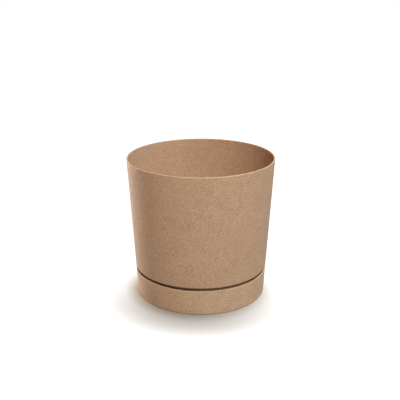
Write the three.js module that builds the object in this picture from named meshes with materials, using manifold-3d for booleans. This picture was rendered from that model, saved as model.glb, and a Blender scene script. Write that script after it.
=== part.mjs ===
// Round plant pot standing in its saucer. Millimetres, +Z up, origin on the table under the centre.
// The pot's outside and the saucer's outside lie on one straight cone, with an open groove between them.
import * as THREE from "three";
import { mergeVertices } from "three/addons/utils/BufferGeometryUtils.js";
import Module from "manifold-3d";

const wasm = await Module();
wasm.setup();

// The cone that both pieces follow on the outside
const rimDiameter = 147;
const footDiameter = 130.4;
const overallHeight = 141;

// Pot
const potWall = 1.6;
const potFloor = 1.8;
const shelfThickness = 1.6;
const footRingWidth = 3;
const footRingHeight = 1.6;
const domeRise = 3;
const domeSlopeRun = 16;

// Pot's rounded edges
const potRimRound = 0.6;
const shoulderRound = 1.3;
const neckRound = 0.5;
const shelfRound = 1;
const floorCornerRound = 2.5;
const domeRound = 4;
const potFootRound = 1;
const footRingRound = 0.5;

// Drainage
const drainCount = 6;
const drainDiameter = 8;
const drainToFootRing = 7;
const drainToDome = 7;
const notchWidth = 8;

// Saucer
const saucerHeight = 25.3;
const saucerWall = 1.6;
const saucerFloor = 1.6;
const saucerRise = 1.8;
const standRingWidth = 6.8;
const riserRun = 1.2;

// Saucer's rounded edges
const saucerRimRound = 0.5;
const saucerFootRound = 1.2;
const channelRound = 1.2;
const riserRound = 0.5;

// How the two fit together
const grooveHeight = 2.9;
const seatHeight = 8;
const spigotClearance = 2.2;
const locatorPlay = 0.4;
const ribCount = 6;
const ribThickness = 1.4;
const ribReach = 10;
const ribNoseChamfer = 2;
const locatorBelowRim = 5.5;
const locatorChamfer = 0.7;

// Gate marks, where the plastic was fed into each mould
const gatePitRadius = 6;
const gatePitDepth = 0.5;
const gateNubRadius = 1.6;
const gateNubShortfall = 0.1;

// Smoothness
const segments = 72;
const barSegments = 16;
const arcStepAngle = Math.PI / 6;

const shoulderHeight = saucerHeight + grooveHeight;
const shelfTop = shoulderHeight + shelfThickness;
const potFloorUnder = seatHeight + footRingHeight;
const potFloorTop = potFloorUnder + potFloor;
const domeUnder = potFloorUnder + domeRise;
const domeTop = potFloorTop + domeRise;
const saucerFloorTop = saucerRise + saucerFloor;
const locatorTop = saucerHeight - locatorBelowRim;

const footRingOuter = spigotOutside(seatHeight);
const footRingInner = footRingOuter - footRingWidth;
const drainCircleRadius = footRingInner - drainToFootRing - drainDiameter / 2;
const domeFootRadius = drainCircleRadius - drainDiameter / 2 - drainToDome;
const domeTopRadius = domeFootRadius - domeSlopeRun;
const standRingInner = outside(0) - standRingWidth;
const ribInner = footRingInner - ribReach;

const cut = 1; // how far a cutting tool runs past the face that it cuts

// Outside radius of the cone at a height.
function outside(height) {
  return (footDiameter + ((rimDiameter - footDiameter) * height) / overallHeight) / 2;
}

// Outside radius of the pot's recessed part, which keeps a steady clearance to the saucer's wall.
function spigotOutside(height) {
  return outside(height) - saucerWall - spigotClearance;
}

// Arc that rounds the corner at here, tangent to the lines towards before and after.
function cornerArc(before, here, after, rounding) {
  const towardsBefore = before.clone().sub(here).normalize();
  const towardsAfter = after.clone().sub(here).normalize();
  const halfAngle = towardsBefore.angleTo(towardsAfter) / 2;
  const middle = towardsBefore.clone().add(towardsAfter).normalize();
  const centre = here.clone().addScaledVector(middle, rounding / Math.sin(halfAngle));
  const start = here.clone().addScaledVector(towardsBefore, rounding / Math.tan(halfAngle));
  const end = here.clone().addScaledVector(towardsAfter, rounding / Math.tan(halfAngle));
  const turn = (Math.PI - 2 * halfAngle) * Math.sign(towardsAfter.cross(towardsBefore));
  const steps = Math.ceil(Math.abs(turn) / arcStepAngle);
  const between = Array.from({ length: steps - 1 }, (_, step) =>
    start.clone().rotateAround(centre, (turn * (step + 1)) / steps),
  );
  return [start, ...between, end];
}

// Outline through corners written as [radius, height, rounding]. A rounding of 0 leaves a sharp corner.
function outline(corners) {
  const places = corners.map(([radius, height]) => new THREE.Vector2(radius, height));
  return corners.flatMap(([, , rounding], i) =>
    rounding ? cornerArc(places[i - 1], places[i], places[i + 1], rounding) : [places[i]],
  );
}

// Geometry as a manifold solid.
function solid(geometry) {
  const bare = geometry.clone();
  bare.deleteAttribute("normal");
  bare.deleteAttribute("uv");
  const merged = mergeVertices(bare);
  const mesh = new wasm.Mesh({
    numProp: 3,
    vertProperties: merged.attributes.position.array,
    triVerts: new Uint32Array(merged.index.array),
  });
  return new wasm.Manifold(mesh);
}

// Manifold solid as a geometry with flat faces.
function geometryOf(made) {
  const { vertProperties, triVerts } = made.getMesh();
  const geometry = new THREE.BufferGeometry();
  geometry.setAttribute("position", new THREE.BufferAttribute(new Float32Array(vertProperties), 3));
  geometry.setIndex(new THREE.BufferAttribute(new Uint32Array(triVerts), 1));
  const flat = geometry.toNonIndexed();
  flat.computeVertexNormals();
  return flat;
}

// Solid of revolution about Z.
function turned(corners) {
  const lathe = new THREE.LatheGeometry(outline(corners), segments);
  return solid(lathe.rotateX(Math.PI / 2));
}

// Upright round bar between two heights, with its centre at a distance from the axis and an angle.
function bar(radius, low, high, distance = 0, angle = 0) {
  const geometry = new THREE.CylinderGeometry(radius, radius, high - low, barSegments);
  geometry.rotateX(Math.PI / 2);
  geometry.translate(distance, 0, (low + high) / 2);
  return solid(geometry.rotateZ(angle));
}

// Block from one radius to another along a direction from the axis.
function radialBlock(inner, outer, width, low, high, angle) {
  const geometry = new THREE.BoxGeometry(outer - inner, width, high - low);
  geometry.translate((inner + outer) / 2, 0, (low + high) / 2);
  return solid(geometry.rotateZ(angle));
}

// Shallow pit under a floor at a height, with the cut-off stub of the gate in its middle.
function gatePit(floorUnder) {
  const pitTop = floorUnder + gatePitDepth;
  const nubEnd = floorUnder + gateNubShortfall;
  const pit = bar(gatePitRadius, floorUnder - cut, pitTop);
  return pit.subtract(bar(gateNubRadius, nubEnd, pitTop + cut));
}

// Drain hole through the pot's floor, with a notch in the foot ring beside it to let the water out.
function drain(angle) {
  const hole = bar(drainDiameter / 2, seatHeight, potFloorTop + cut, drainCircleRadius, angle);
  const notchInner = footRingInner - cut;
  const notchOuter = footRingOuter + cut;
  const notch = radialBlock(
    notchInner, notchOuter, notchWidth, seatHeight - cut, potFloorUnder, angle,
  );
  return hole.add(notch);
}

function potSolid() {
  const rim = outside(overallHeight);
  const body = turned([
    [0, domeUnder, 0],
    [domeTopRadius, domeUnder, domeRound],
    [domeFootRadius, potFloorUnder, domeRound],
    [footRingInner, potFloorUnder, footRingRound],
    [footRingInner, seatHeight, footRingRound],
    [footRingOuter, seatHeight, potFootRound],
    [spigotOutside(shoulderHeight), shoulderHeight, neckRound],
    [outside(shoulderHeight), shoulderHeight, shoulderRound],
    [rim, overallHeight, potRimRound],
    [rim - potWall, overallHeight, potRimRound],
    [outside(shelfTop) - potWall, shelfTop, shelfRound],
    [spigotOutside(shelfTop) - potWall, shelfTop, shelfRound],
    [spigotOutside(potFloorTop) - potWall, potFloorTop, floorCornerRound],
    [domeFootRadius, potFloorTop, domeRound],
    [domeTopRadius, domeTop, domeRound],
    [0, domeTop, 0],
  ]);
  let made = body.subtract(gatePit(domeUnder));
  for (let i = 0; i < drainCount; i++) {
    made = made.subtract(drain(((i + 0.5) * 2 * Math.PI) / drainCount));
  }
  return made;
}

// Rib that carries the pot's foot ring and turns up the saucer's wall to centre the pot.
function supportRib(angle) {
  const channelMiddle = saucerFloor / 2;
  const floorMiddle = saucerRise + saucerFloor / 2;
  const inWall = (height) => outside(height) - saucerWall / 2;
  const fin = (height) => spigotOutside(height) + locatorPlay;
  const profile = new THREE.Shape([
    new THREE.Vector2(ribInner, floorMiddle),
    new THREE.Vector2(standRingInner, floorMiddle),
    new THREE.Vector2(standRingInner + riserRun, channelMiddle),
    new THREE.Vector2(inWall(channelMiddle), channelMiddle),
    new THREE.Vector2(inWall(locatorTop), locatorTop),
    new THREE.Vector2(fin(locatorTop) + locatorChamfer, locatorTop),
    new THREE.Vector2(fin(locatorTop - locatorChamfer), locatorTop - locatorChamfer),
    new THREE.Vector2(fin(seatHeight), seatHeight),
    new THREE.Vector2(ribInner + ribNoseChamfer, seatHeight),
    new THREE.Vector2(ribInner, seatHeight - ribNoseChamfer),
  ]);
  const geometry = new THREE.ExtrudeGeometry(profile, { depth: ribThickness, bevelEnabled: false });
  geometry.translate(0, 0, -ribThickness / 2);
  geometry.rotateX(Math.PI / 2);
  return solid(geometry.rotateZ(angle));
}

function saucerSolid() {
  const rim = outside(saucerHeight);
  const body = turned([
    [0, saucerRise, 0],
    [standRingInner - riserRun, saucerRise, riserRound],
    [standRingInner, 0, riserRound],
    [outside(0), 0, saucerFootRound],
    [rim, saucerHeight, saucerRimRound],
    [rim - saucerWall, saucerHeight, saucerRimRound],
    [outside(saucerFloor) - saucerWall, saucerFloor, channelRound],
    [standRingInner + riserRun, saucerFloor, riserRound],
    [standRingInner, saucerFloorTop, riserRound],
    [0, saucerFloorTop, 0],
  ]);
  let made = body.subtract(gatePit(saucerRise));
  for (let i = 0; i < ribCount; i++) {
    made = made.add(supportRib((i * 2 * Math.PI) / ribCount));
  }
  return made;
}

// Light brown plastic filled with wood fibre, matt.
function woodFibrePlastic() {
  return new THREE.MeshStandardMaterial({ color: 0xb08f72, roughness: 0.62, metalness: 0 });
}

function piece(name, made) {
  const mesh = new THREE.Mesh(geometryOf(made), woodFibrePlastic());
  mesh.name = name;
  return mesh;
}

const plantPot = new THREE.Group();
plantPot.add(piece("saucer", saucerSolid()));
plantPot.add(piece("pot", potSolid()));

export default plantPot;
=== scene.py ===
import math

import bmesh
import bpy
from mathutils import Matrix, Vector


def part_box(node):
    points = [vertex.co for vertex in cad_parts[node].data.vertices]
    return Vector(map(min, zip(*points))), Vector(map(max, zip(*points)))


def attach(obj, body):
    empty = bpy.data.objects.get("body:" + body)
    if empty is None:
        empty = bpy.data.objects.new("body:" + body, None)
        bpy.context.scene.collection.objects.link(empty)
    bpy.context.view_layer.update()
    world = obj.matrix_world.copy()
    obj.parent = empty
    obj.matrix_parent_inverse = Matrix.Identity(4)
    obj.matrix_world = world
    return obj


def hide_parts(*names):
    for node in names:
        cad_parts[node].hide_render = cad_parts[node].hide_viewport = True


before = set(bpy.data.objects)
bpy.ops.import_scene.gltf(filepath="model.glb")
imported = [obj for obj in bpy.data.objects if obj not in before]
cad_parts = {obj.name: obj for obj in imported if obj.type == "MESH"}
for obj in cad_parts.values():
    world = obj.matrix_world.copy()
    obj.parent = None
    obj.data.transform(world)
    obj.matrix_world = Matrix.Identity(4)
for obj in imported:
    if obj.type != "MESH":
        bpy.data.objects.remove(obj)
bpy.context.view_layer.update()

# Heights that come from the frame
SEAT_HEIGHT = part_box("pot")[0].z
OVERALL_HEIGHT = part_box("pot")[1].z
SAUCER_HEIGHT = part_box("saucer")[1].z

# The cone that both pieces follow on the outside
RIM_RADIUS = 0.0735
FOOT_RADIUS = 0.0652

# Pot
POT_WALL = 0.0016
POT_FLOOR = 0.0018
SHELF_THICKNESS = 0.0016
FOOT_RING_WIDTH = 0.003
FOOT_RING_HEIGHT = 0.0016
DOME_RISE = 0.003
DOME_SLOPE_RUN = 0.016
DRAIN_COUNT = 6
DRAIN_RADIUS = 0.004
DRAIN_TO_FOOT_RING = 0.007
DRAIN_TO_DOME = 0.007
NOTCH_WIDTH = 0.008

# Saucer
SAUCER_WALL = 0.0016
SAUCER_FLOOR = 0.0016
SAUCER_RISE = 0.0018
STAND_RING_WIDTH = 0.0068
RISER_RUN = 0.0012

# How the two fit together
GROOVE_HEIGHT = 0.0029
SPIGOT_CLEARANCE = 0.0022
LOCATOR_PLAY = 0.0004
RIB_COUNT = 6
RIB_THICKNESS = 0.0014
RIB_REACH = 0.01
RIB_NOSE_CHAMFER = 0.002
LOCATOR_BELOW_RIM = 0.0055
LOCATOR_CHAMFER = 0.0007

# Gate marks
GATE_PIT_RADIUS = 0.006
GATE_PIT_DEPTH = 0.0005
GATE_NUB_RADIUS = 0.0016
GATE_NUB_SHORTFALL = 0.0001
GATE_ROUND = 0.00015

# Roundings
POT_RIM_ROUND = 0.00078
SHOULDER_ROUND = 0.0013
NECK_ROUND = 0.0005
SHELF_ROUND = 0.001
FLOOR_CORNER_ROUND = 0.0025
DOME_ROUND = 0.004
POT_FOOT_ROUND = 0.001
FOOT_RING_ROUND = 0.0005
DRAIN_EDGE_ROUND = 0.0004
NOTCH_ROUND = 0.0006
SAUCER_RIM_ROUND = 0.0005
SAUCER_FOOT_ROUND = 0.0012
CHANNEL_ROUND = 0.0012
RISER_ROUND = 0.0005
RIB_EDGE_ROUND = 0.0003

# Smoothness
SEGMENTS = 288
DRAIN_SEGMENTS = 64
ARC_STEP = math.radians(9)
LONGEST_STEP = 0.006
CUT = 0.001  # how far a cutting tool runs past the face that it cuts
ON_AXIS = 1e-9  # a point nearer to the axis than this is a pole
SHARP_EDGE = math.radians(35)
FLARE_STEPS = 5
FLARE_END = math.radians(80)  # how far a drain hole's flare turns before the tool runs on straight
BEVEL_STEPS = 3
NOTCH_STEPS = 4
ALONG = 0.9  # cosine past which an edge counts as pointing away from the axis

SHOULDER_HEIGHT = SAUCER_HEIGHT + GROOVE_HEIGHT
SHELF_TOP = SHOULDER_HEIGHT + SHELF_THICKNESS
POT_FLOOR_UNDER = SEAT_HEIGHT + FOOT_RING_HEIGHT
POT_FLOOR_TOP = POT_FLOOR_UNDER + POT_FLOOR
DOME_UNDER = POT_FLOOR_UNDER + DOME_RISE
SAUCER_FLOOR_TOP = SAUCER_RISE + SAUCER_FLOOR
LOCATOR_TOP = SAUCER_HEIGHT - LOCATOR_BELOW_RIM


def outside(height):
    """Outside radius of the cone at a height."""
    return FOOT_RADIUS + (RIM_RADIUS - FOOT_RADIUS) * height / OVERALL_HEIGHT


def spigot_outside(height):
    """Outside radius of the pot's recessed part."""
    return outside(height) - SAUCER_WALL - SPIGOT_CLEARANCE


FOOT_RING_OUTER = spigot_outside(SEAT_HEIGHT)
FOOT_RING_INNER = FOOT_RING_OUTER - FOOT_RING_WIDTH
DRAIN_CIRCLE = FOOT_RING_INNER - DRAIN_TO_FOOT_RING - DRAIN_RADIUS
DOME_FOOT = DRAIN_CIRCLE - DRAIN_RADIUS - DRAIN_TO_DOME
DOME_TOP = DOME_FOOT - DOME_SLOPE_RUN
STAND_RING_INNER = FOOT_RADIUS - STAND_RING_WIDTH
RIB_INNER = FOOT_RING_INNER - RIB_REACH


# Outlines and solids

def corner_arc(before, here, after, rounding):
    """Points of the arc that rounds the corner at here, tangent to the lines to before and after."""
    towards_before = (before - here).normalized()
    towards_after = (after - here).normalized()
    half_angle = towards_before.angle(towards_after) / 2
    middle = (towards_before + towards_after).normalized()
    centre = here + middle * (rounding / math.sin(half_angle))
    start = here + towards_before * (rounding / math.tan(half_angle))
    side = towards_after.x * towards_before.y - towards_after.y * towards_before.x
    turn = math.copysign(math.pi - 2 * half_angle, side)
    steps = max(1, math.ceil(abs(turn) / ARC_STEP))
    spoke = start - centre
    return [centre + Matrix.Rotation(turn * step / steps, 2) @ spoke for step in range(steps + 1)]


def outline(corners):
    """Points through corners written as (radius, height, rounding), with long straight stretches divided."""
    places = [Vector((radius, height)) for radius, height, _ in corners]
    points = []
    for i, (_, _, rounding) in enumerate(corners):
        points += corner_arc(*places[i - 1:i + 2], rounding) if rounding else [places[i]]
    divided = [points[0]]
    for start, end in zip(points, points[1:]):
        steps = max(1, math.ceil((end - start).length / LONGEST_STEP))
        divided += [start.lerp(end, step / steps) for step in range(1, steps + 1)]
    return divided


def new_object(name, mesh):
    """Object of a bmesh whose faces are first turned to point out."""
    bmesh.ops.recalc_face_normals(mesh, faces=mesh.faces)
    data = bpy.data.meshes.new(name)
    mesh.to_mesh(data)
    mesh.free()
    made = bpy.data.objects.new(name, data)
    bpy.context.scene.collection.objects.link(made)
    return made


def add_turned(mesh, points, segments, place=Matrix.Identity(4)):
    """Adds the closed solid of revolution of points, which run from its axis back to it, to a bmesh."""
    angles = [2 * math.pi * i / segments for i in range(segments)]
    rings = []
    for radius, height in points:
        if radius < ON_AXIS:
            pole = mesh.verts.new(place @ Vector((0, 0, height)))
            rings.append([pole] * segments)
            continue
        ring = [Vector((radius * math.cos(a), radius * math.sin(a), height)) for a in angles]
        rings.append([mesh.verts.new(place @ corner) for corner in ring])
    for ring, following in zip(rings, rings[1:]):
        for i in range(segments):
            j = (i + 1) % segments
            corners = dict.fromkeys([ring[i], ring[j], following[j], following[i]])
            mesh.faces.new(list(corners))


def turned(name, corners):
    """Object of revolution about Z."""
    mesh = bmesh.new()
    add_turned(mesh, outline(corners), SEGMENTS)
    return new_object(name, mesh)


def finish_modifiers(made):
    """Puts an object's modifiers into its mesh."""
    evaluated = made.evaluated_get(bpy.context.evaluated_depsgraph_get())
    data = bpy.data.meshes.new_from_object(evaluated)
    made.modifiers.clear()
    made.data = data


def combine(made, tool, operation):
    """Joins the tool's solid to an object, or cuts it away."""
    modifier = made.modifiers.new("combine", "BOOLEAN")
    modifier.operation = operation
    modifier.solver = "EXACT"
    modifier.object = tool
    finish_modifiers(made)
    bpy.data.objects.remove(tool)


def shade(made):
    """Smooth shading in which the large faces keep their own direction."""
    made.data.shade_smooth()
    made.data.set_sharp_from_angle(angle=SHARP_EDGE)
    modifier = made.modifiers.new("weighted", "WEIGHTED_NORMAL")
    modifier.keep_sharp = True
    finish_modifiers(made)


def about_z(index, count, offset=0.0):
    """Turn about Z that takes one feature to its place in an even ring of them."""
    return Matrix.Rotation((index + offset) * 2 * math.pi / count, 4, "Z")


# Pot

def gate_mark(floor_under):
    """Corners of the gate's pit under a floor, with its cut-off stub, from the axis outwards."""
    nub_end = floor_under + GATE_NUB_SHORTFALL
    pit_top = floor_under + GATE_PIT_DEPTH
    return [
        (0, nub_end, 0),
        (GATE_NUB_RADIUS, nub_end, GATE_ROUND),
        (GATE_NUB_RADIUS, pit_top, GATE_ROUND),
        (GATE_PIT_RADIUS, pit_top, GATE_ROUND),
        (GATE_PIT_RADIUS, floor_under, GATE_ROUND),
    ]


def drain_outline():
    """Half section of the tool for a drain hole, whose ends flare to round the hole's edges."""
    flare = DRAIN_RADIUS + DRAIN_EDGE_ROUND
    arc = [FLARE_END * (1 - step / FLARE_STEPS) for step in range(FLARE_STEPS + 1)]
    lower = [
        Vector((flare - DRAIN_EDGE_ROUND * math.cos(a),
                POT_FLOOR_UNDER + DRAIN_EDGE_ROUND * (1 - math.sin(a))))
        for a in arc
    ]
    upper = [
        Vector((point.x, POT_FLOOR_TOP + POT_FLOOR_UNDER - point.y)) for point in reversed(lower)
    ]
    run = Vector((math.sin(FLARE_END), math.cos(FLARE_END))) * CUT
    low_end = lower[0] + Vector((run.x, -run.y))
    high_end = upper[-1] + run
    return [Vector((0, low_end.y)), low_end, *lower, *upper, high_end, Vector((0, high_end.y))]


def drain_tools():
    """One object of all the round tools that cut the drain holes."""
    mesh = bmesh.new()
    for i in range(DRAIN_COUNT):
        turn = about_z(i, DRAIN_COUNT, 0.5)
        hole = turn @ Matrix.Translation((DRAIN_CIRCLE, 0, 0))
        add_turned(mesh, drain_outline(), DRAIN_SEGMENTS, hole)
    return new_object("drain_tools", mesh)


def notch_tools():
    """One object of all the rounded blocks that cut the notches in the foot ring."""
    mesh = bmesh.new()
    length = FOOT_RING_WIDTH + 2 * CUT
    low = SEAT_HEIGHT - CUT
    high = POT_FLOOR_UNDER
    for i in range(DRAIN_COUNT):
        middle = Vector(((FOOT_RING_INNER + FOOT_RING_OUTER) / 2, 0, (low + high) / 2))
        size = Matrix.Diagonal((length, NOTCH_WIDTH, high - low, 1))
        place = about_z(i, DRAIN_COUNT, 0.5) @ Matrix.Translation(middle) @ size
        block = bmesh.ops.create_cube(mesh, size=1, matrix=place)["verts"]
        top = [v for v in block if v.co.z > middle.z]
        along = [
            e for e in mesh.edges
            if e.verts[0] in top and e.verts[1] in top and is_radial(e)
        ]
        bmesh.ops.bevel(
            mesh, geom=along, offset=NOTCH_ROUND, segments=NOTCH_STEPS, profile=0.5, affect="EDGES",
        )
    return new_object("notch_tools", mesh)


def is_radial(edge):
    """Whether an edge points away from the axis."""
    direction = (edge.verts[1].co - edge.verts[0].co).normalized()
    outwards = (edge.verts[0].co + edge.verts[1].co) * Vector((1, 1, 0))
    return abs(direction.dot(outwards.normalized())) > ALONG


def make_pot():
    """The pot: rim, tapered wall, rounded lower edge, recessed spigot, foot ring and domed floor."""
    rim = outside(OVERALL_HEIGHT)
    made = turned("moulded_pot", [
        *gate_mark(DOME_UNDER),
        (DOME_TOP, DOME_UNDER, DOME_ROUND),
        (DOME_FOOT, POT_FLOOR_UNDER, DOME_ROUND),
        (FOOT_RING_INNER, POT_FLOOR_UNDER, FOOT_RING_ROUND),
        (FOOT_RING_INNER, SEAT_HEIGHT, FOOT_RING_ROUND),
        (FOOT_RING_OUTER, SEAT_HEIGHT, POT_FOOT_ROUND),
        (spigot_outside(SHOULDER_HEIGHT), SHOULDER_HEIGHT, NECK_ROUND),
        (outside(SHOULDER_HEIGHT), SHOULDER_HEIGHT, SHOULDER_ROUND),
        (rim, OVERALL_HEIGHT, POT_RIM_ROUND),
        (rim - POT_WALL, OVERALL_HEIGHT, POT_RIM_ROUND),
        (outside(SHELF_TOP) - POT_WALL, SHELF_TOP, SHELF_ROUND),
        (spigot_outside(SHELF_TOP) - POT_WALL, SHELF_TOP, SHELF_ROUND),
        (spigot_outside(POT_FLOOR_TOP) - POT_WALL, POT_FLOOR_TOP, FLOOR_CORNER_ROUND),
        (DOME_FOOT, POT_FLOOR_TOP, DOME_ROUND),
        (DOME_TOP, POT_FLOOR_TOP + DOME_RISE, DOME_ROUND),
        (0, POT_FLOOR_TOP + DOME_RISE, 0),
    ])
    combine(made, drain_tools(), "DIFFERENCE")
    combine(made, notch_tools(), "DIFFERENCE")
    return made


# Saucer

def rib_profile():
    """Side view of a rib as (radius, height), which carries the foot ring and centres the pot."""
    channel_middle = SAUCER_FLOOR / 2
    floor_middle = SAUCER_RISE + SAUCER_FLOOR / 2

    def in_wall(height):
        return outside(height) - SAUCER_WALL / 2

    def fin(height):
        return spigot_outside(height) + LOCATOR_PLAY

    return [
        (RIB_INNER, floor_middle),
        (STAND_RING_INNER, floor_middle),
        (STAND_RING_INNER + RISER_RUN, channel_middle),
        (in_wall(channel_middle), channel_middle),
        (in_wall(LOCATOR_TOP), LOCATOR_TOP),
        (fin(LOCATOR_TOP) + LOCATOR_CHAMFER, LOCATOR_TOP),
        (fin(LOCATOR_TOP - LOCATOR_CHAMFER), LOCATOR_TOP - LOCATOR_CHAMFER),
        (fin(SEAT_HEIGHT), SEAT_HEIGHT),
        (RIB_INNER + RIB_NOSE_CHAMFER, SEAT_HEIGHT),
        (RIB_INNER, SEAT_HEIGHT - RIB_NOSE_CHAMFER),
    ]


def ribs():
    """One object of all the ribs, with their free edges rounded."""
    mesh = bmesh.new()
    buried = 5  # the profile's first corners lie inside the saucer's floor and wall
    for i in range(RIB_COUNT):
        turn = about_z(i, RIB_COUNT)
        sides = []
        for y in (-RIB_THICKNESS / 2, RIB_THICKNESS / 2):
            corners = [turn @ Vector((radius, y, height)) for radius, height in rib_profile()]
            sides.append([mesh.verts.new(corner) for corner in corners])
        near, far = sides
        count = len(near)
        faces = [mesh.faces.new(near), mesh.faces.new(list(reversed(far)))]
        for a in range(count):
            b = (a + 1) % count
            faces.append(mesh.faces.new([near[b], near[a], far[a], far[b]]))
        free = [
            mesh.edges.get((side[a], side[(a + 1) % count]))
            for side in sides for a in range(buried - 1, count)
        ]
        bmesh.ops.bevel(
            mesh, geom=free, offset=RIB_EDGE_ROUND, segments=BEVEL_STEPS, profile=0.5, affect="EDGES",
        )
    return new_object("ribs", mesh)


def make_saucer():
    """The saucer: tapered wall, stand ring, raised floor and the ribs that carry the pot."""
    rim = outside(SAUCER_HEIGHT)
    made = turned("moulded_saucer", [
        *gate_mark(SAUCER_RISE),
        (STAND_RING_INNER - RISER_RUN, SAUCER_RISE, RISER_ROUND),
        (STAND_RING_INNER, 0, RISER_ROUND),
        (outside(0), 0, SAUCER_FOOT_ROUND),
        (rim, SAUCER_HEIGHT, SAUCER_RIM_ROUND),
        (rim - SAUCER_WALL, SAUCER_HEIGHT, SAUCER_RIM_ROUND),
        (outside(SAUCER_FLOOR) - SAUCER_WALL, SAUCER_FLOOR, CHANNEL_ROUND),
        (STAND_RING_INNER + RISER_RUN, SAUCER_FLOOR, RISER_ROUND),
        (STAND_RING_INNER, SAUCER_FLOOR_TOP, RISER_ROUND),
        (0, SAUCER_FLOOR_TOP, 0),
    ])
    combine(made, ribs(), "UNION")
    return made


# Materials

MILLIMETRES = (1000, 1000, 1000)  # in a metre, along each axis

NOISE_SPAN = (0.3, 0.7)  # what a noise's values mostly lie between
GRAIN_SPAN = (0.25, 0.75)

# The plastic around the fibres, between its darker and lighter places
MATRIX_DARK = (0.436, 0.279, 0.177)
MATRIX_LIGHT = (0.460, 0.298, 0.192)
MOTTLE_PER_MM = 0.06
# What each moulding's colours are multiplied by: the saucer is made lighter than the pot
POT_TONE = (1.0, 1.0, 1.0)
SAUCER_TONE = (1.11, 1.14, 1.15)

# What the fine grain multiplies the plastic's colour by
GRAIN_DARK = (0.66, 0.635, 0.61, 1)
GRAIN_LIGHT = (1.34, 1.365, 1.39, 1)
GRAIN_PER_MM = 1.9

# Fibres: the way in which each family lies, as turns in radians, and its cells in a millimetre
PALE_FAMILIES = (((0.3, 0.2, 0.0), 1.25), ((1.4, 0.3, 0.6), 1.45))
DARK_FAMILIES = (((0.9, 0.1, 1.2), 1.2), ((0.1, 1.3, 0.4), 1.5))
PALE_FIBRE = (0.78, 0.60, 0.45, 1)
DARK_FIBRE = (0.16, 0.085, 0.045, 1)
PALE_COVER = 0.6  # how much of the colour under a fibre it hides
DARK_COVER = 0.85
FIBRE_STRETCH = 3.0  # length to width
FIBRE_SHARE = 0.55  # share of the cells that hold a fibre
FIBRE_SIZE = 0.30  # in cells
FIBRE_LEAST = 0.5  # the smallest and the largest fibre, and its soft edge, as shares of that size
FIBRE_MOST = 1.2
FIBRE_EDGE = 0.5
FIBRE_WOBBLE = (0.7, 0.7, 0.7)  # how far the cells are pushed out of line, in millimetres
WOBBLE_PER_CELL = 1.3

# Relief and gloss
RELIEF_PER_MM = 2.4
RELIEF_OF_FIBRES = 0.5
RELIEF_DEPTH = 0.00008
RELIEF_STRENGTH = 0.6
ROUGH_LOW = 0.7
ROUGH_HIGH = 0.82
PLASTIC_IOR = 1.5
PLASTIC_GLOSS = 0.18


class Nodes:
    """Short way to add nodes to a new material or world and to link them."""

    def __init__(self, owner):
        self.owner = owner
        owner.use_nodes = True
        self.tree = owner.node_tree
        self.tree.nodes.clear()

    def add(self, kind, inputs=None, **settings):
        node = self.tree.nodes.new(kind)
        for key, value in settings.items():
            setattr(node, key, value)
        for key, value in (inputs or {}).items():
            if isinstance(value, bpy.types.NodeSocket):
                self.tree.links.new(value, node.inputs[key])
            else:
                node.inputs[key].default_value = value
        return node

    def math(self, operation, a, b):
        return self.add("ShaderNodeMath", {0: a, 1: b}, operation=operation).outputs[0]

    def ramp(self, value, low, high, to_low=0.0, to_high=1.0, kind="SMOOTHSTEP"):
        inputs = {"Value": value, "From Min": low, "From Max": high}
        inputs.update({"To Min": to_low, "To Max": to_high})
        node = self.add("ShaderNodeMapRange", inputs, interpolation_type=kind)
        return node.outputs["Result"]

    def noise(self, place, scale, detail):
        inputs = {"Vector": place, "Scale": scale, "Detail": detail}
        return self.add("ShaderNodeTexNoise", inputs).outputs["Fac"]

    def mix(self, factor, a, b, blend="MIX"):
        node = self.add("ShaderNodeMix", {0: factor, 6: a, 7: b}, data_type="RGBA", blend_type=blend)
        return node.outputs[2]


def fibre_family(nodes, millimetres, turn, per_mm):
    """Mask of the fibres that lie one way: stretched cells, of which a share hold a fibre."""
    wobble = nodes.add(
        "ShaderNodeTexNoise",
        {"Vector": millimetres, "Scale": WOBBLE_PER_CELL * per_mm, "Detail": 1.0},
    )
    offset = nodes.add(
        "ShaderNodeVectorMath", {0: wobble.outputs["Color"], 1: FIBRE_WOBBLE}, operation="MULTIPLY",
    )
    moved = nodes.add("ShaderNodeVectorMath", {0: millimetres, 1: offset.outputs[0]}, operation="ADD")
    along = nodes.add(
        "ShaderNodeMapping",
        {"Vector": moved.outputs[0], "Rotation": turn, "Scale": (1, 1, 1 / FIBRE_STRETCH)},
    )
    cells = nodes.add(
        "ShaderNodeTexVoronoi", {"Vector": along.outputs[0], "Scale": per_mm, "Randomness": 1.0},
    )
    draw = nodes.add("ShaderNodeSeparateColor", {"Color": cells.outputs["Color"]})
    chosen = nodes.math("LESS_THAN", draw.outputs[0], FIBRE_SHARE)
    reach = nodes.ramp(
        draw.outputs[1], 0.0, 1.0, FIBRE_SIZE * FIBRE_LEAST, FIBRE_SIZE * FIBRE_MOST, "LINEAR",
    )
    inside = nodes.math("SUBTRACT", reach, cells.outputs["Distance"])
    body = nodes.ramp(inside, 0.0, FIBRE_SIZE * FIBRE_EDGE)
    return nodes.math("MULTIPLY", chosen, body)


def fibres(nodes, millimetres, families):
    """Mask of all the fibres of one colour."""
    masks = [fibre_family(nodes, millimetres, turn, per_mm) for turn, per_mm in families]
    return nodes.math("MAXIMUM", *masks)


def tinted(colour, tone):
    """Colour of a node's socket: a red, green and blue, each multiplied by its own tone."""
    return tuple(channel * share for channel, share in zip(colour, tone)) + (1,)


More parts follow.
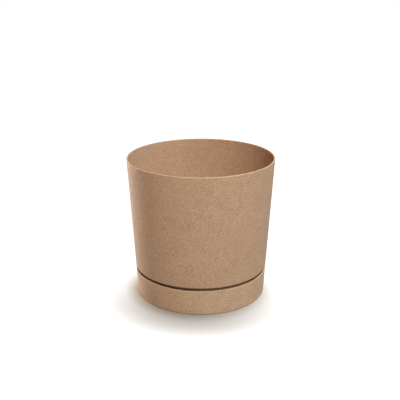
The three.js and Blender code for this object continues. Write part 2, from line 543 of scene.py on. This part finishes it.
def wood_fibre_plastic(name, tone):
    """Matt light brown plastic with fine lighter and darker wood fibres and a faint mottle."""
    nodes = Nodes(bpy.data.materials.new(name))
    place = nodes.add("ShaderNodeTexCoord")
    scaled = nodes.add(
        "ShaderNodeVectorMath", {0: place.outputs["Object"], 1: MILLIMETRES}, operation="MULTIPLY",
    )
    millimetres = scaled.outputs[0]

    mottle = nodes.noise(millimetres, MOTTLE_PER_MM, 2.0)
    grain = nodes.noise(millimetres, GRAIN_PER_MM, 3.0)
    matrix = nodes.mix(
        nodes.ramp(mottle, *NOISE_SPAN), tinted(MATRIX_DARK, tone), tinted(MATRIX_LIGHT, tone),
    )
    grained = nodes.mix(nodes.ramp(grain, *GRAIN_SPAN), GRAIN_DARK, GRAIN_LIGHT)
    plastic = nodes.mix(1.0, matrix, grained, "MULTIPLY")

    pale = fibres(nodes, millimetres, PALE_FAMILIES)
    dark = fibres(nodes, millimetres, DARK_FAMILIES)
    darker = nodes.mix(nodes.math("MULTIPLY", dark, DARK_COVER), plastic, DARK_FIBRE)
    colour = nodes.mix(nodes.math("MULTIPLY", pale, PALE_COVER), darker, PALE_FIBRE)

    # Pale fibres stand up a little from the surface, and dark ones lie in it.
    raised = nodes.math("MULTIPLY", nodes.math("SUBTRACT", pale, dark), RELIEF_OF_FIBRES)
    height = nodes.math("ADD", raised, nodes.noise(millimetres, RELIEF_PER_MM, 3.0))
    relief = {"Strength": RELIEF_STRENGTH, "Distance": RELIEF_DEPTH, "Height": height}
    bump = nodes.add("ShaderNodeBump", relief)

    shader = nodes.add("ShaderNodeBsdfPrincipled", {
        "Base Color": colour,
        "Roughness": nodes.ramp(grain, *NOISE_SPAN, ROUGH_LOW, ROUGH_HIGH),
        "IOR": PLASTIC_IOR,
        "Specular IOR Level": PLASTIC_GLOSS,
        "Normal": bump.outputs["Normal"],
    })
    nodes.add("ShaderNodeOutputMaterial", {"Surface": shader.outputs["BSDF"]})
    return nodes.owner


def dress(made, material, body, node):
    """Gives a finished piece its material, ties it to the CAD body, and hides the CAD node that it stands
    for.
    """
    shade(made)
    made.data.materials.clear()
    made.data.materials.append(material)
    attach(made, body)
    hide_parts(node)


# Studio

FLOOR_HALF = 20.0
FLOOR_BOUNCE = (0.45, 0.45, 0.45, 1)  # what the floor throws back on the pot
FLOOR_SEEN = (0.2, 0.2, 0.2, 1)  # what the camera sees of the lamps' light, under the white glow

# Shade round the pot in the floor's white glow. It was set to look like the photograph's
# shadow, and doesn't come from the lamps. The different powers for red, green and blue warm it.
# The wide part falls to the front and fades at the sides.
SHADE_REACH = 0.050
SHADE_LEAN = (0.12, 1, 0.18)
SHADE_SPREAD = (4, 0, 0)  # how much the lean turns outwards for each metre from the middle
# The warm tint that these powers give near the pot is painted light, like brown light thrown back from the
# pot.
SHADE_POWERS = (2.05, 2.2, 2.37)
# The part at the foot is darkest at the front left.
CONTACT_REACH = 0.014
CONTACT_LEAN = (0.5, 0.75, 0.8)
# These powers paint the same warm light at the pot's foot.
CONTACT_POWERS = (0.5, 0.7, 0.95)
CONTACT_SPREAD = (0, 0, 0)
SHADE_SAMPLES = 32

# Lamps: name, azimuth and elevation in degrees, width and height in metres, watts, colour.
# An azimuth runs from the camera's side towards +X.
LAMP_DISTANCE = 1.2
WHITE = (1, 1, 1)
NEUTRAL = (1.0, 0.99, 0.975)
EMBER = (1.0, 0.6, 0.3)
COOL = (0.93, 0.99, 1.0)
LAMPS = (
    ("key", 18, 44, 0.5, 0.5, 12.5, NEUTRAL),
    ("side", 90, 68, 0.5, 0.5, 10.4, COOL),
    ("ember", -62, 48, 0.5, 0.5, 2.8, EMBER),
    ("back", 150, 45, 0.5, 0.5, 2, WHITE),
    ("low_strip", -132, 0, 0.36, 0.12, 18, NEUTRAL),
)


def seen_directly(nodes):
    """One for rays of the camera, reflections and glass, and none for diffuse light."""
    path = nodes.add("ShaderNodeLightPath")
    seen = nodes.math("MAXIMUM", path.outputs["Is Camera Ray"], path.outputs["Is Glossy Ray"])
    return nodes.math("MAXIMUM", seen, path.outputs["Is Transmission Ray"])


def shade_colour(nodes, reach, lean, spread, powers):
    """Share of the surroundings towards lean that is open, to a power for each of red, green and blue."""
    place = nodes.add("ShaderNodeNewGeometry").outputs["Position"]
    inputs = {0: place, 1: spread, 2: lean}
    turned_lean = nodes.add("ShaderNodeVectorMath", inputs, operation="MULTIPLY_ADD").outputs[0]
    aim = nodes.add("ShaderNodeVectorMath", {0: turned_lean}, operation="NORMALIZE").outputs[0]
    occlusion = nodes.add(
        "ShaderNodeAmbientOcclusion", {"Distance": reach, "Normal": aim}, samples=SHADE_SAMPLES,
    )
    open_share = occlusion.outputs["AO"]
    channels = [nodes.math("POWER", open_share, power) for power in powers]
    return nodes.add("ShaderNodeCombineColor", dict(enumerate(channels))).outputs["Color"]


def floor_material():
    """Sheet with the lamps' faint shadow, under a white glow that a painted shade dims round the pot."""
    nodes = Nodes(bpy.data.materials.new("studio_floor"))
    seen = seen_directly(nodes)
    sheet = nodes.add("ShaderNodeBsdfDiffuse", {"Color": nodes.mix(seen, FLOOR_BOUNCE, FLOOR_SEEN)})
    wide = shade_colour(nodes, SHADE_REACH, SHADE_LEAN, SHADE_SPREAD, SHADE_POWERS)
    near = shade_colour(nodes, CONTACT_REACH, CONTACT_LEAN, CONTACT_SPREAD, CONTACT_POWERS)
    colour = nodes.mix(1.0, wide, near, "MULTIPLY")
    glow = nodes.add("ShaderNodeEmission", {"Color": colour, "Strength": seen})
    both = nodes.add("ShaderNodeAddShader", {0: sheet.outputs[0], 1: glow.outputs[0]})
    nodes.add("ShaderNodeOutputMaterial", {"Surface": both.outputs[0]})
    return nodes.owner


def make_floor():
    """The floor, which is no part of the object."""
    mesh = bmesh.new()
    bmesh.ops.create_grid(mesh, x_segments=2, y_segments=2, size=FLOOR_HALF)
    floor = new_object("studio_floor", mesh)
    floor.data.materials.append(floor_material())


def soft_lamp(name, azimuth, elevation, width, height, watts, colour):
    """Soft lamp aimed at the pot's middle, with its angles in radians."""
    data = bpy.data.lights.new(name, "AREA")
    data.shape = "RECTANGLE"
    data.size = width
    data.size_y = height
    data.energy = watts
    data.color = colour
    lamp = bpy.data.objects.new(name, data)
    bpy.context.scene.collection.objects.link(lamp)
    flat = math.cos(elevation) * LAMP_DISTANCE
    aim = Vector((0, 0, OVERALL_HEIGHT / 2))
    rise = math.sin(elevation) * LAMP_DISTANCE
    away = Vector((math.sin(azimuth) * flat, -math.cos(azimuth) * flat, rise))
    lamp.location = aim + away
    lamp.rotation_euler = away.to_track_quat("Z", "Y").to_euler()
    lamp.visible_camera = False


def light_the_set():
    """The lamps, and white surroundings that only the camera, reflections and glass see."""
    for name, azimuth, elevation, *rest in LAMPS:
        soft_lamp(name, math.radians(azimuth), math.radians(elevation), *rest)
    nodes = Nodes(bpy.data.worlds.new("studio"))
    inputs = {"Color": (*WHITE, 1), "Strength": seen_directly(nodes)}
    background = nodes.add("ShaderNodeBackground", inputs)
    nodes.add("ShaderNodeOutputWorld", {"Surface": background.outputs[0]})
    bpy.context.scene.world = nodes.owner


# Camera, as fitted to the photograph's circles and outlines
CAMERA_PLACE = (0, -0.6849, 0.3276)
CAMERA_PITCH = math.radians(18.745)  # down from level
CAMERA_YAW = math.radians(0.066)
CAMERA_ROLL = math.radians(-0.08)
CAMERA_LENS = 64.43
CAMERA_SENSOR = 36.0


def place_camera():
    """The camera, at the photograph's viewing angle."""
    data = bpy.data.cameras.new("camera")
    data.lens = CAMERA_LENS
    data.sensor_width = CAMERA_SENSOR
    camera = bpy.data.objects.new("camera", data)
    bpy.context.scene.collection.objects.link(camera)
    aim = Matrix.Rotation(CAMERA_YAW, 4, "Z")
    aim = aim @ Matrix.Rotation(math.pi / 2 - CAMERA_PITCH, 4, "X")
    aim = aim @ Matrix.Rotation(CAMERA_ROLL, 4, "Z")
    camera.matrix_world = Matrix.Translation(CAMERA_PLACE) @ aim
    bpy.context.scene.camera = camera


dress(make_pot(), wood_fibre_plastic("pot_plastic", POT_TONE), "pot", "pot")
dress(make_saucer(), wood_fibre_plastic("saucer_plastic", SAUCER_TONE), "saucer", "saucer")
make_floor()
light_the_set()
place_camera()
bpy.context.scene.view_settings.view_transform = "Standard"
